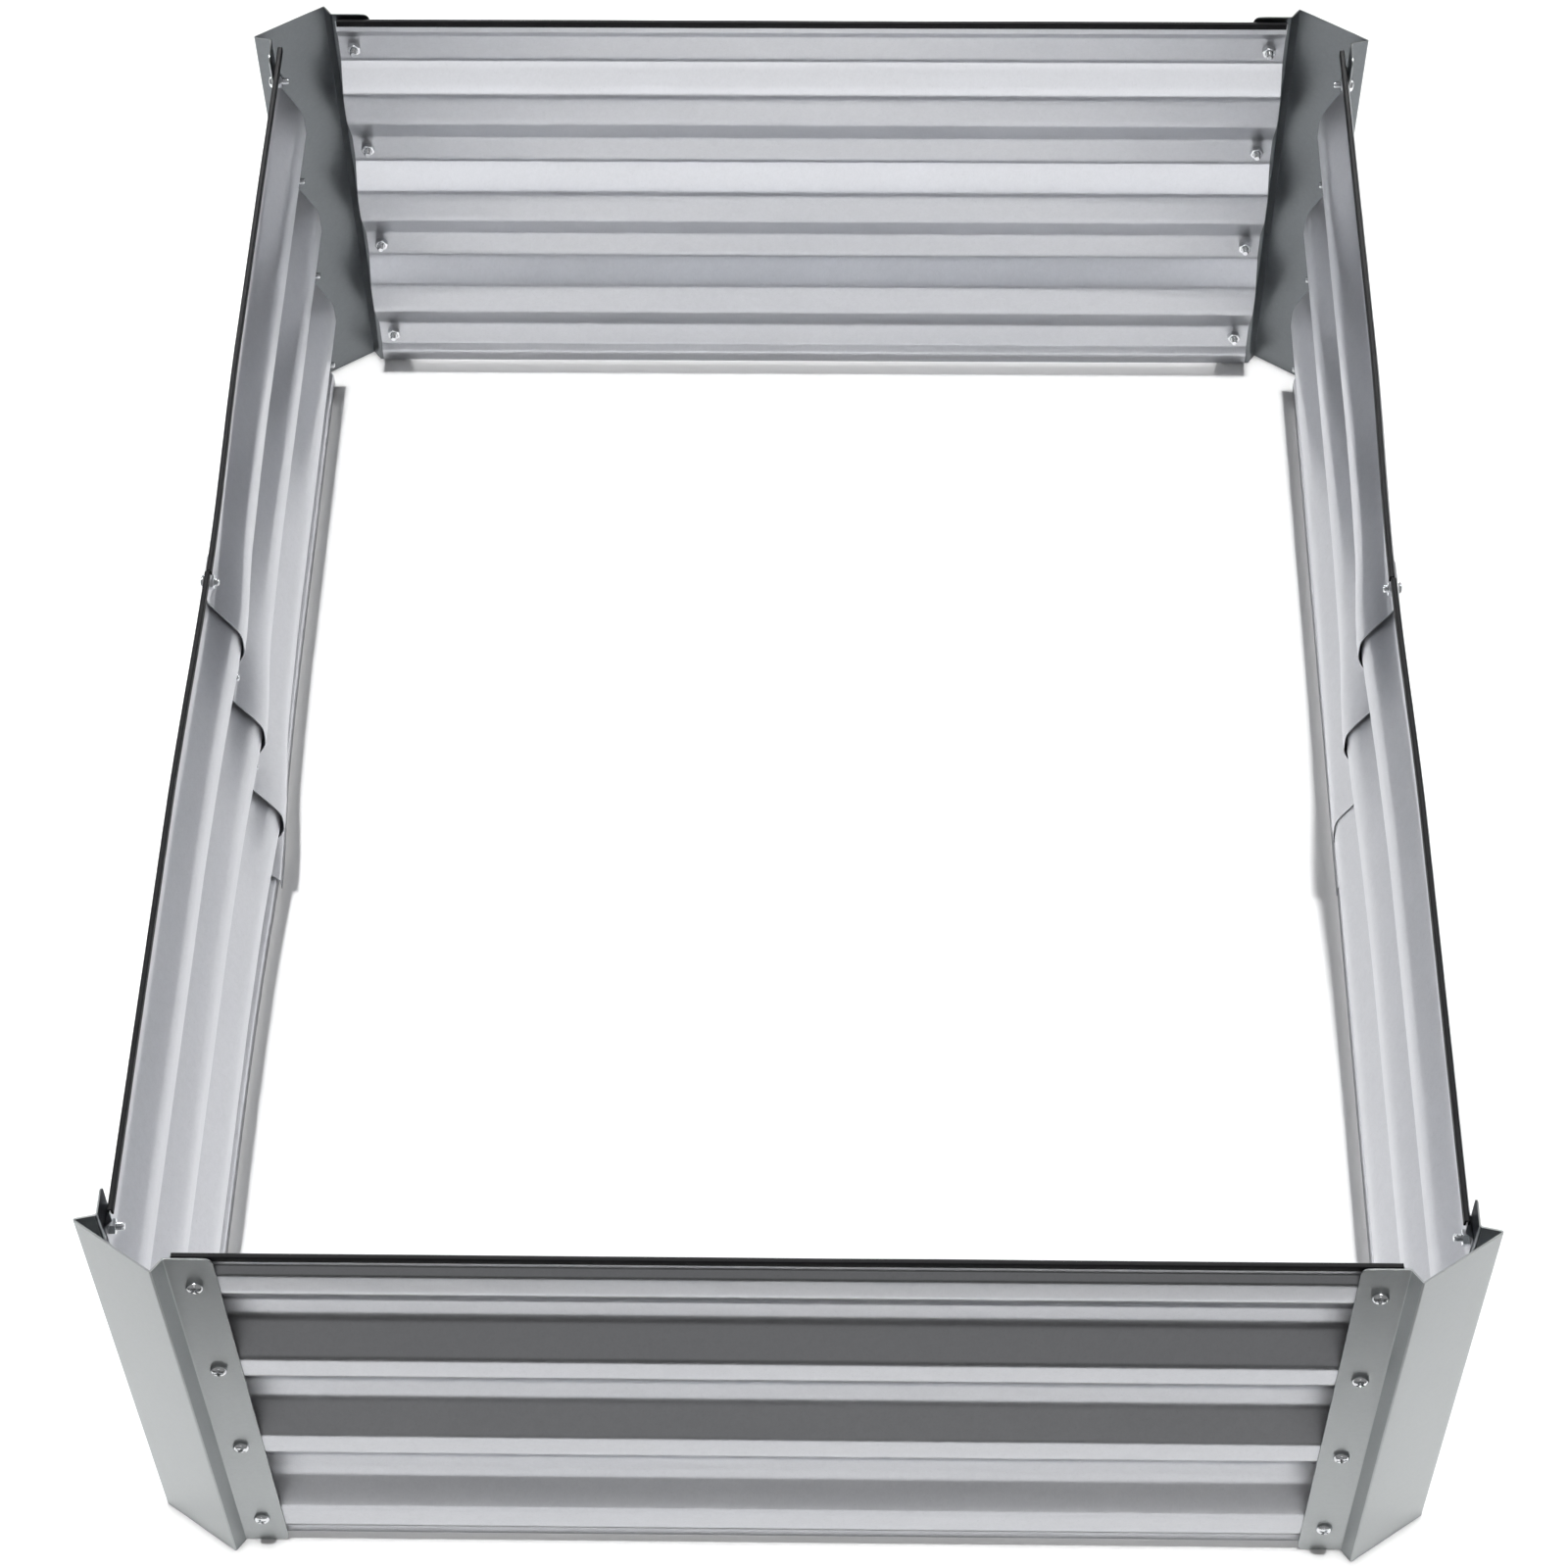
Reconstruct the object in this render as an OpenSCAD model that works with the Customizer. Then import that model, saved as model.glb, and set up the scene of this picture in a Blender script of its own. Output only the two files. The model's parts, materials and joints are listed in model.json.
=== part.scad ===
// Rectangular raised garden bed of corrugated galvanised sheet, open at the top and at the bottom.
// Six corrugated panels are bolted to four folded corner posts. The front and the back are one
// panel each; each long side is two panels that lap at mid-length, the rear one on the inside.
// A rubber strip covers every top edge. Every bolt has its head outside and its nut inside.
// Millimetres. The origin is on the ground at the middle of the bed: +X right, +Y back, +Z up.

/* [Bed] */
// Overall width, across the corner posts
bed_w = 915; // [880:5:960]
// Overall length, across the corner posts
bed_l = 1200; // [1100:10:1300]
// Overall height, from the ground to the top of the corner posts
bed_h = 405; // [396:1:414]

/* [Corrugated panels] */
// Thickness of the panel sheet
sheet_t = 0.6; // [0.5:0.1:0.8]
// Depth of the corrugation, from the outer flats to the inner crests
wave_d = 16; // [14:0.5:16.5]
// Slope of the corrugation's sides, away from upright
wave_a = 27; // [26:1:30]
// Bend radius beside the outer flats
wave_r_out = 16; // [10:1:17]
// Bend radius beside the inner crests
wave_r_in = 28; // [18:1:30]
// Height of an outer flat, between the corners of its bends
flat_h = 23.6; // [20:0.2:24]
// Set-back of the front and back panels' plain edges from the outer flats
lip_front = 3.6; // [3.4:0.1:5]
// Set-back of the side panels' plain edges from the outer flats
lip_side = 6.4; // [5:0.1:7]
// Height of the slope between an edge strip and the outer flat beside it
lip_h = 8; // [6:0.5:9]
// Gap between the bottom edge of a panel and the ground
panel_lift = 4; // [3:0.5:6]
// Drop from the top of a corner post to the top edge of a panel
panel_drop = 4; // [3.5:0.5:6]
// Facets in each bend of a sheet
bend_n = 6; // [3:1:10]

/* [Corner posts] */
// Thickness of the post sheet
post_t = 1.2; // [1:0.1:1.5]
// Width of the post's broad face, measured along the front of the bed
face_x = 54.4; // [45:0.1:65]
// Width of the broad face, measured along the side of the bed
face_y = 38.3; // [32:0.1:60]
// Step-back of the front flange behind the broad face's front fold
fold_x = [7.1, 9.3];
// Step-back of the side flange behind the broad face's side fold
fold_y = [14.4, 3.9];
// Width of the flange bolted to the front or back panel
flange_x = 31; // [28:0.5:34]
// Width of the flange bolted to a side panel
flange_y = 22; // [20:0.5:30]
// Radius of the free corners of a flange
flange_r = 6; // [3:0.5:8]
// Outside radius of a fold
fold_r = 2; // [1.8:0.1:2.6]

/* [Side laps] */
// Reach of the rear side panel in front of the middle of the bed
lap_front = 12; // [10:1:20]
// Reach of the front side panel behind the middle of the bed
lap_back = 18; // [16:1:30]
// Distance of the row of lap bolts behind the middle of the bed
lap_bolt = 3; // [2:1:5]

/* [Edge strips] */
// Width of the rubber strip
strip_w = 3.8; // [3.4:0.1:4.4]
// Height of the rubber strip
strip_h = 6; // [5:0.1:6.6]
// Thickness of the rubber over the sheet's edge
strip_web = 1.5; // [1:0.1:2]

/* [Fasteners] */
// Diameter of a bolt's shank
bolt_d = 5.9; // [5.8:0.1:6]
// Length of a bolt under its head
bolt_l = 12; // [10:1:14]
// Diameter of a bolt's head
head_d = 11.6; // [10:0.1:12]
// Height of a bolt's head
head_h = 4.2; // [3:0.1:4.6]
// Width of a nut across its flats
nut_af = 10; // [9:0.5:10]
// Height of a nut
nut_h = 5; // [4:0.1:5.2]
// Diameter of the bolt holes in panels and posts
hole_d = 6.6; // [6.2:0.1:7]

/* [Hidden] */
$fn = 48;

// Heights of the four rows of bolts, which are the middles of the outer flats
row_low = 36.2;
row_high = bed_h - 34;
pitch = (row_high - row_low) / 3;
rows = [for (k = [0:3]) row_low + k * pitch];

// Planes of the panels' outer flats, which are the inner faces of the post flanges
front_face = bed_l / 2 - fold_x[1] - post_t;
side_face = bed_w / 2 - fold_y[0] - post_t;

// Ends of the panels, just short of the folds beside the flanges
front_end = bed_w / 2 - face_x - fold_x[0] - 3;
side_end = bed_l / 2 - face_y - fold_y[1] - 3;

// Middles of the flanges
front_bolt = bed_w / 2 - face_x - fold_x[0] - flange_x / 2;
side_bolt = bed_l / 2 - face_y - fold_y[1] - flange_y / 2;

panel_top = bed_h - panel_drop;
strip_top = panel_top + strip_web;
wave_h = wave_d / tan(wave_a);

// The rear side panels turn a very little, so that they lie on the post at one end and inside
// the front side panels at the lap
lap_clear = sheet_t + 0.1;
lap_turn = atan(lap_clear / (side_end - lap_back));

steel = [0.74, 0.76, 0.78];
zinc = [0.66, 0.70, 0.70];
bright = [0.82, 0.83, 0.85];
rubber = [0.06, 0.06, 0.07];

// ---- bent sheet, drawn as a line with rounded corners and a thickness ----

function dir(a, b) = (b - a) / norm(b - a);
function left_of(u) = [-u[1], u[0]];
function turned(v, t) = [v[0] * cos(t) - v[1] * sin(t), v[0] * sin(t) + v[1] * cos(t)];

// Points round the corner b of the line a-b-c, each with the direction of its left side
function bend(a, b, c, r, n) =
    let (u = dir(a, b), v = dir(b, c), s = cross(u, v) > 0 ? 1 : -1,
         t = s * acos(max(-1, min(1, u * v))),
         o = b - u * r * tan(abs(t) / 2) + s * r * left_of(u))
    [for (k = [0:n]) let (w = turned(left_of(u), t * k / n)) [o - s * r * w, w]];

function bent_line(p, r, n) = concat(
    [[p[0], left_of(dir(p[0], p[1]))]],
    [for (i = [1:len(p) - 2]) each bend(p[i - 1], p[i], p[i + 1], r[i], n)],
    [[p[len(p) - 1], left_of(dir(p[len(p) - 2], p[len(p) - 1]))]]);

// Outline of a sheet that covers from lo to hi on the left side of the line
function bent_sheet(p, r, n, lo, hi) = let (m = bent_line(p, r, n))
    concat([for (q = m) q[0] + q[1] * lo], [for (i = [len(m) - 1:-1:0]) m[i][0] + m[i][1] * hi]);

// ---- section of a panel: x is the depth behind the outer flats, y is the height ----

function wave_line(lip) = concat(
    [[lip, panel_top],
     [lip, rows[3] + flat_h / 2 + lip_h],
     [0, rows[3] + flat_h / 2]],
    [for (k = [3:-1:1]) each [
        [0, rows[k] - flat_h / 2],
        [wave_d, rows[k] - flat_h / 2 - wave_h],
        [wave_d, rows[k - 1] + flat_h / 2 + wave_h],
        [0, rows[k - 1] + flat_h / 2]]],
    [[0, rows[0] - flat_h / 2 - 1.5],
     [lip, rows[0] - flat_h / 2 - 1.5 - lip_h],
     [lip, panel_lift]]);

wave_r = concat([0, 6, 9],
    [for (k = [3:-1:1]) each [wave_r_out, wave_r_in, wave_r_in, wave_r_out]],
    [7, 6, 0]);

module panel_section(lip) polygon(bent_sheet(wave_line(lip), wave_r, bend_n, 0, sheet_t));

// A wall seen from outside: x along it, y the depth behind its outer flats, z up
module wall(turn, face) rotate([0, 0, turn]) translate([0, -face, 0]) children();

// A panel from u0 to u1 along its wall, with its plain edges at depth lip, and a column of bolt
// holes at each u of holes
module panel(u0, u1, lip, holes) {
    difference() {
        translate([u0, 0, 0]) rotate([90, 0, 90]) linear_extrude(u1 - u0) panel_section(lip);
        for (u = holes, z = rows)
            translate([u, 2, z]) rotate([90, 0, 0]) cylinder(h = 4, d = hole_d);
    }
}

// Places a rear side panel, or its strip, on the turned line from the rear post to the lap
module rear_turn() translate([side_end, 0, 0]) rotate([0, 0, -lap_turn]) translate([-side_end, 0, 0]) children();

// ---- rubber strip: a channel with rounded shoulders that grips a panel's top edge ----

module strip_section(lip) {
    r = 1.2;
    translate([lip + sheet_t / 2 - strip_w / 2, strip_top - strip_h]) {
        square([strip_w, strip_h - r]);
        translate([r, strip_h - 2 * r]) square([strip_w - 2 * r, 2 * r]);
        for (x = [r, strip_w - r]) translate([x, strip_h - r]) circle(r);
    }
}

module strip(u0, u1, lip) {
    difference() {
        translate([u0, 0, 0]) rotate([90, 0, 90]) linear_extrude(u1 - u0) strip_section(lip);
        translate([u0 - 1, lip, panel_top - 20]) cube([u1 - u0 + 2, sheet_t, 20]);
    }
}

// Extra width of the channel where a strip grips both sheets of the lap
module lap_slot() translate([-lap_front - 1, lip_side - lap_clear - 0.1, panel_top - 20])
    cube([lap_front + lap_back + 2, sheet_t + lap_clear, 20]);

// ---- corner post: one strip of sheet, folded into flange, return, broad face, return, flange ----

post_corners = [
    [bed_w / 2 - fold_y[0], bed_l / 2 - face_y - fold_y[1] - flange_y],
    [bed_w / 2 - fold_y[0], bed_l / 2 - face_y - fold_y[1]],
    [bed_w / 2, bed_l / 2 - face_y],
    [bed_w / 2 - face_x, bed_l / 2],
    [bed_w / 2 - face_x - fold_x[0], bed_l / 2 - fold_x[1]],
    [bed_w / 2 - face_x - fold_x[0] - flange_x, bed_l / 2 - fold_x[1]]];

// Moves the corner b outwards, so that its rounded fold still reaches as far along an axis
function let_out(a, b, c, r, axis) =
    let (s = -left_of(dir(a, b)) - left_of(dir(b, c)), k = left_of(dir(a, b)) * left_of(dir(b, c)))
    b + s / s[axis] * r * (s[axis] / (1 + k) - 1);

post_line = [post_corners[0], post_corners[1],
    let_out(post_corners[1], post_corners[2], post_corners[3], fold_r, 0),
    let_out(post_corners[2], post_corners[3], post_corners[4], fold_r, 1),
    post_corners[4], post_corners[5]];
post_r = [0, fold_r, fold_r, fold_r, fold_r, 0];

// The waste beside a rounded corner, in the x-z plane, with the corner at the origin
module corner_waste(r) rotate([90, 0, 0]) linear_extrude(12, center = true) difference() {
    translate([-1, -1]) square(r + 1);
    translate([r, r]) circle(r);
}

module post() {
    difference() {
        linear_extrude(bed_h) polygon(bent_sheet(post_line, post_r, bend_n, 0, post_t));
        // front flange: holes and free corners
        for (z = rows) translate([front_bolt, front_face + 3, z]) rotate([90, 0, 0]) cylinder(h = 6, d = hole_d);
        translate([front_bolt - flange_x / 2, front_face, 0]) {
            corner_waste(flange_r);
            translate([0, 0, bed_h]) mirror([0, 0, 1]) corner_waste(flange_r);
        }
        // side flange: holes and free corners
        for (z = rows) translate([side_face - 3, side_bolt, z]) rotate([0, 90, 0]) cylinder(h = 6, d = hole_d);
        translate([side_face, side_bolt - flange_y / 2, 0]) rotate([0, 0, 90]) {
            corner_waste(flange_r);
            translate([0, 0, bed_h]) mirror([0, 0, 1]) corner_waste(flange_r);
        }
    }
}

// ---- fasteners: z runs inwards, and z = 0 is the face under the head ----

// Pan head: a short rim, then a flattened dome
head_line = concat([[0, 0], [head_d / 2, 0]],
    [for (a = [0:15:90]) [head_d / 2 * pow(cos(a), 0.62), -head_h * (0.26 + 0.74 * pow(sin(a), 0.9))]]);

// Shank with rounded ridges along its free end
thread_n = 6;
shank_line = concat([[0, 0], [bolt_d / 2, 0], [bolt_d / 2, bolt_l - thread_n - 0.6]],
    [for (k = [0:thread_n - 1]) each [
        [bolt_d / 2 - 0.35, bolt_l - thread_n - 0.3 + k],
        [bolt_d / 2, bolt_l - thread_n + 0.2 + k]]],
    [[bolt_d / 2 - 0.7, bolt_l], [0, bolt_l]]);

// Cross recess: two slots that narrow with depth, cut from one cone
module cross_recess() intersection() {
    translate([0, 0, -head_h - 0.1]) cylinder(h = 2.7, r1 = 3.4, r2 = 1.1);
    for (a = [0, 90]) rotate([0, 0, a]) translate([-4, -0.75, -head_h - 1]) cube([8, 1.5, 5]);
}

module bolt(turn) rotate([0, 0, turn]) difference() {
    union() {
        rotate_extrude() polygon(head_line);
        rotate_extrude() polygon(shank_line);
    }
    cross_recess();
}

// Hexagon nut with its corners turned down on both ends
module nut(turn) rotate([0, 0, turn]) difference() {
    intersection() {
        linear_extrude(nut_h) polygon([for (a = [0:60:300]) nut_af / sqrt(3) * [cos(a), sin(a)]]);
        rotate_extrude() polygon([[0, 0], [nut_af / 2 - 0.2, 0], [nut_af / sqrt(3) + 0.1, 0.75],
            [nut_af / sqrt(3) + 0.1, nut_h - 0.75], [nut_af / 2 - 0.2, nut_h], [0, nut_h]]);
    }
    translate([0, 0, -1]) cylinder(h = nut_h + 2, d = bolt_d + 0.1);
}

// A column of bolts at u along a wall, with their heads against the plane at depth d
module bolt_column(u, d, first) for (k = [0:3])
    translate([u, d, rows[k]]) rotate([-90, 0, 0]) bolt((first + 37 * k) % 90);

module nut_column(u, d, first) for (k = [0:3])
    translate([u, d, rows[k]]) rotate([-90, 0, 0]) nut((first + 23 * k) % 60);

// Depth of the nuts' faces on a flange, and at the lap where two sheets lie together
nut_in = sheet_t + 0.02;
nut_lap = sheet_t + tan(lap_turn) * (side_end - lap_bolt + nut_af / sqrt(3)) + 0.01;

// ---- the pieces ----

module front_panel() color(steel) wall(0, front_face) panel(-front_end, front_end, lip_front, [-front_bolt, front_bolt]);
module back_panel() color(steel) wall(180, front_face) panel(-front_end, front_end, lip_front, [-front_bolt, front_bolt]);
module right_front_panel() color(steel) wall(90, side_face) panel(-side_end, lap_back, lip_side, [-side_bolt, lap_bolt]);
module right_rear_panel() color(steel) wall(90, side_face) rear_turn() panel(-lap_front, side_end, lip_side, [lap_bolt, side_bolt]);
module left_front_panel() mirror([1, 0, 0]) right_front_panel();
module left_rear_panel() mirror([1, 0, 0]) right_rear_panel();

module rear_right_post() color(zinc) post();
module rear_left_post() color(zinc) mirror([1, 0, 0]) post();
module front_right_post() color(zinc) mirror([0, 1, 0]) post();
module front_left_post() color(zinc) rotate([0, 0, 180]) post();

module front_edge_strip() color(rubber) wall(0, front_face) strip(-front_end + 1, front_end - 1, lip_front);
module back_edge_strip() color(rubber) wall(180, front_face) strip(-front_end + 1, front_end - 1, lip_front);
module right_front_edge_strip() color(rubber) wall(90, side_face) strip(-side_end + 2, -lap_front - 1, lip_side);
module right_rear_edge_strip() color(rubber) wall(90, side_face) rear_turn() difference() {
    strip(-lap_front, side_end - 2, lip_side);
    lap_slot();
}
module left_front_edge_strip() mirror([1, 0, 0]) right_front_edge_strip();
module left_rear_edge_strip() mirror([1, 0, 0]) right_rear_edge_strip();

module front_left_bolts() color(bright) wall(0, front_face) bolt_column(-front_bolt, -post_t, 20);
module front_right_bolts() color(bright) wall(0, front_face) bolt_column(front_bolt, -post_t, 65);
module back_left_bolts() color(bright) wall(180, front_face) bolt_column(front_bolt, -post_t, 40);
module back_right_bolts() color(bright) wall(180, front_face) bolt_column(-front_bolt, -post_t, 5);
module right_front_bolts() color(bright) wall(90, side_face) bolt_column(-side_bolt, -post_t, 50);
module right_rear_bolts() color(bright) wall(90, side_face) bolt_column(side_bolt, -post_t, 10);
module left_front_bolts() color(bright) wall(-90, side_face) bolt_column(side_bolt, -post_t, 30);
module left_rear_bolts() color(bright) wall(-90, side_face) bolt_column(-side_bolt, -post_t, 75);
module right_lap_bolts() color(bright) wall(90, side_face) bolt_column(lap_bolt, 0, 15);
module left_lap_bolts() color(bright) wall(-90, side_face) bolt_column(-lap_bolt, 0, 55);

module front_left_nuts() color(bright) wall(0, front_face) nut_column(-front_bolt, nut_in, 10);
module front_right_nuts() color(bright) wall(0, front_face) nut_column(front_bolt, nut_in, 45);
module back_left_nuts() color(bright) wall(180, front_face) nut_column(front_bolt, nut_in, 25);
module back_right_nuts() color(bright) wall(180, front_face) nut_column(-front_bolt, nut_in, 5);
module right_front_nuts() color(bright) wall(90, side_face) nut_column(-side_bolt, nut_in, 35);
module right_rear_nuts() color(bright) wall(90, side_face) nut_column(side_bolt, nut_in, 15);
module left_front_nuts() color(bright) wall(-90, side_face) nut_column(side_bolt, nut_in, 50);
module left_rear_nuts() color(bright) wall(-90, side_face) nut_column(-side_bolt, nut_in, 30);
module right_lap_nuts() color(bright) wall(90, side_face) nut_column(lap_bolt, nut_lap, 20);
module left_lap_nuts() color(bright) wall(-90, side_face) nut_column(-lap_bolt, nut_lap, 40);

front_panel();
back_panel();
left_front_panel();
left_rear_panel();
right_front_panel();
right_rear_panel();
front_left_post();
front_right_post();
rear_left_post();
rear_right_post();
front_edge_strip();
back_edge_strip();
left_front_edge_strip();
left_rear_edge_strip();
right_front_edge_strip();
right_rear_edge_strip();
front_left_bolts();
front_right_bolts();
back_left_bolts();
back_right_bolts();
left_front_bolts();
left_rear_bolts();
right_front_bolts();
right_rear_bolts();
left_lap_bolts();
right_lap_bolts();
front_left_nuts();
front_right_nuts();
back_left_nuts();
back_right_nuts();
left_front_nuts();
left_rear_nuts();
right_front_nuts();
right_rear_nuts();
left_lap_nuts();
right_lap_nuts();
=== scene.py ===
"""Raised garden bed: corrugated galvanised panels, folded corner posts, rubber edge strips, M6 fasteners.

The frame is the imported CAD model. Every visible piece is modelled here as finer sheet metal, rubber
or hardware in the place of its CAD node, from the same dimensions. Metres; +X right, +Y back, +Z up.
"""

import json
import math

import bmesh
import bpy
import numpy as np
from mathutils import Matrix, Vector, noise

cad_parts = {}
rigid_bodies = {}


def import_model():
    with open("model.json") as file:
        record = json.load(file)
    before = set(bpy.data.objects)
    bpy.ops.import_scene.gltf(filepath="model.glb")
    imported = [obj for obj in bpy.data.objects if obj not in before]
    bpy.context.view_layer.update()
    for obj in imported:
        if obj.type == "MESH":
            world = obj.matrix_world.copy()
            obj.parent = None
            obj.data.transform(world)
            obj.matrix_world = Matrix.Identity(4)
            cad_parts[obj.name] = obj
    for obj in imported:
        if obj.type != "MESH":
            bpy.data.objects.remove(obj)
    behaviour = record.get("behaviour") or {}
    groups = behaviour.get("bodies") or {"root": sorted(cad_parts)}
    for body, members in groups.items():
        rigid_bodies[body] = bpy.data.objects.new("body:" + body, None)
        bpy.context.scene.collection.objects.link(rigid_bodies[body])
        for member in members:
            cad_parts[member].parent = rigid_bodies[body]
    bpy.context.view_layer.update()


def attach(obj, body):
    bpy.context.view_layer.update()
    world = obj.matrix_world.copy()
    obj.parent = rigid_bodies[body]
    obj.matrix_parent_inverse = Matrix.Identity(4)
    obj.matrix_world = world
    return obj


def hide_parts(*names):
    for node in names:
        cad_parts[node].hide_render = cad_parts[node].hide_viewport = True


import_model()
scene = bpy.context.scene
MM = 0.001

# ---------------------------------------------------------------- dimensions, in mm, as in the CAD

BED_W, BED_L, BED_H = 915.0, 1200.0, 405.0
SHEET, WAVE_D, WAVE_A = 0.6, 16.0, math.radians(27)
R_OUT, R_IN = 16.0, 28.0
FLAT_H, LIP_H, LIP_FRONT, LIP_SIDE = 23.6, 8.0, 3.6, 6.4
PANEL_TOP, PANEL_LOW = 401.0, 4.0
POST = 1.2
FACE_X, FACE_Y = 54.4, 38.3
FOLD_X, FOLD_Y = (7.1, 9.3), (14.4, 3.9)
FLANGE_X, FLANGE_Y, FLANGE_R = 31.0, 22.0, 6.0
LAP_FRONT, LAP_BACK, LAP_BOLT = 12.0, 18.0, 3.0
STRIP_W, STRIP_H, STRIP_WEB = 3.8, 6.0, 1.5
BOLT_D, BOLT_L, HEAD_D, HEAD_H = 5.9, 12.0, 11.6, 4.2
NUT_AF, NUT_H = 10.0, 5.0

ROWS = [36.2 + k * (BED_H - 34 - 36.2) / 3 for k in range(4)]
FRONT_FACE = BED_L / 2 - FOLD_X[1] - POST
SIDE_FACE = BED_W / 2 - FOLD_Y[0] - POST
FRONT_END = BED_W / 2 - FACE_X - FOLD_X[0] - 3
SIDE_END = BED_L / 2 - FACE_Y - FOLD_Y[1] - 3
FRONT_BOLT = BED_W / 2 - FACE_X - FOLD_X[0] - FLANGE_X / 2
SIDE_BOLT = BED_L / 2 - FACE_Y - FOLD_Y[1] - FLANGE_Y / 2
WAVE_H = WAVE_D / math.tan(WAVE_A)
LAP_TURN = math.atan((SHEET + 0.1) / (SIDE_END - LAP_BACK))


def smooth(a, b, x):
    t = min(1.0, max(0.0, (x - a) / (b - a)))
    return t * t * (3 - 2 * t)


# ---------------------------------------------------------------- walls
# A wall's own coordinates are (u along it as seen from outside, d the depth behind its outer flats, z).


def wall(side):
    """Function from (u, d, z) in mm to a point of the bed in metres."""
    if side == "front":
        return lambda u, d, z: Vector((u, d - FRONT_FACE, z)) * MM
    if side == "back":
        return lambda u, d, z: Vector((-u, FRONT_FACE - d, z)) * MM
    if side == "right":
        return lambda u, d, z: Vector((SIDE_FACE - d, u, z)) * MM
    return lambda u, d, z: Vector((d - SIDE_FACE, u, z)) * MM  # left, with u towards the back


# ---------------------------------------------------------------- bent sheet


def bent_line(points, radii, steps, longest):
    """Samples of a line with rounded corners: x, y, the unit normal on its left, and where each lies."""
    p = [np.array(q, float) for q in points]
    out = []

    def add(q, n):
        if out:
            a, na = out[-1][:2], np.array(out[-1][2:4])
            gap = math.hypot(q[0] - a[0], q[1] - a[1])
            if gap < 1e-6:
                return
            if abs(np.dot(na, n) - 1) < 1e-9:  # a straight part gets evenly spaced samples
                m = max(1, math.ceil(gap / longest))
                for k in range(1, m):
                    t = k / m
                    out.append((a[0] + (q[0] - a[0]) * t, a[1] + (q[1] - a[1]) * t, n[0], n[1]))
        out.append((q[0], q[1], n[0], n[1]))

    def left(v):
        return np.array((-v[1], v[0]))

    d = [(b - a) / np.linalg.norm(b - a) for a, b in zip(p, p[1:])]
    add(p[0], left(d[0]))
    for i in range(1, len(p) - 1):
        u, v, r = d[i - 1], d[i], radii[i]
        s = 1 if u[0] * v[1] - u[1] * v[0] > 0 else -1
        t = s * math.acos(max(-1.0, min(1.0, float(u @ v))))
        o = p[i] - u * r * math.tan(abs(t) / 2) + s * r * left(u)
        n_steps = max(2, round(steps * max(1.0, abs(t) / 0.5)))
        for k in range(n_steps + 1):
            a = t * k / n_steps
            w = left(u)
            w = np.array((w[0] * math.cos(a) - w[1] * math.sin(a), w[0] * math.sin(a) + w[1] * math.cos(a)))
            add(o - s * r * w, w)
    add(p[-1], left(d[-1]))
    return out


def build(name, bm, slot, stands_for, *materials):
    """A finished piece from a bmesh: welded, its faces turned outwards, smooth with its real edges sharp."""
    bmesh.ops.remove_doubles(bm, verts=bm.verts, dist=1e-7)
    bmesh.ops.recalc_face_normals(bm, faces=bm.faces)
    me = bpy.data.meshes.new(name)
    bm.to_mesh(me)
    bm.free()
    for material in materials:
        me.materials.append(material)
    me.shade_smooth()
    me.set_sharp_from_angle(angle=math.radians(38))
    ob = bpy.data.objects.new(name, me)
    scene.collection.objects.link(ob)
    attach(ob, "root")
    if stands_for:
        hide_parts(*stands_for)
    return ob


def edge_break(ob, width):
    """Rounds the cut edges of a sheet a little, so that they catch the light."""
    m = ob.modifiers.new("edge", "BEVEL")
    m.width = width * MM
    m.segments = 2
    m.limit_method = "ANGLE"
    m.angle_limit = math.radians(50)
    m.harden_normals = True
    m.use_clamp_overlap = True
    return ob


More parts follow.
